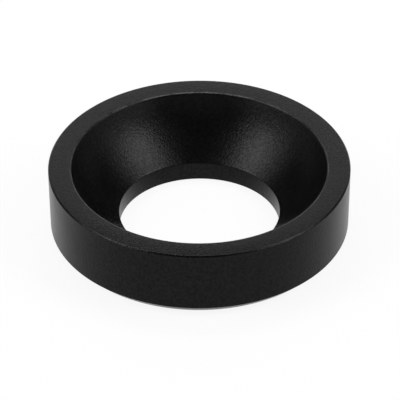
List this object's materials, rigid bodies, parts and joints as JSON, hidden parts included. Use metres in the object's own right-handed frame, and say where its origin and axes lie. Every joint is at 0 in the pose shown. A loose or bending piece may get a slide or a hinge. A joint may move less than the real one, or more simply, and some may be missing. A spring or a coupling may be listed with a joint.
{
  "type": "flare washer",
  "caption": "Thick round washer turned in one piece, with a dished seat in its top face, a short straight bore, a slightly tapered outer wall and chamfered edges.",
  "frame": {"origin": "middle of the flat base, on the axis of the bore", "axes": "+Z along the axis of the bore, from the base up to the face with the dished seat; X and Y are free, because the part is round"},
  "size_m": [0.0254, 0.0254, 0.0062],
  "materials": {
    "black_steel": "fine blasted steel with a satin black oxide"
  },
  "bodies": {
    "root": {"washer": "black_steel"}
  },
  "joints": []
}
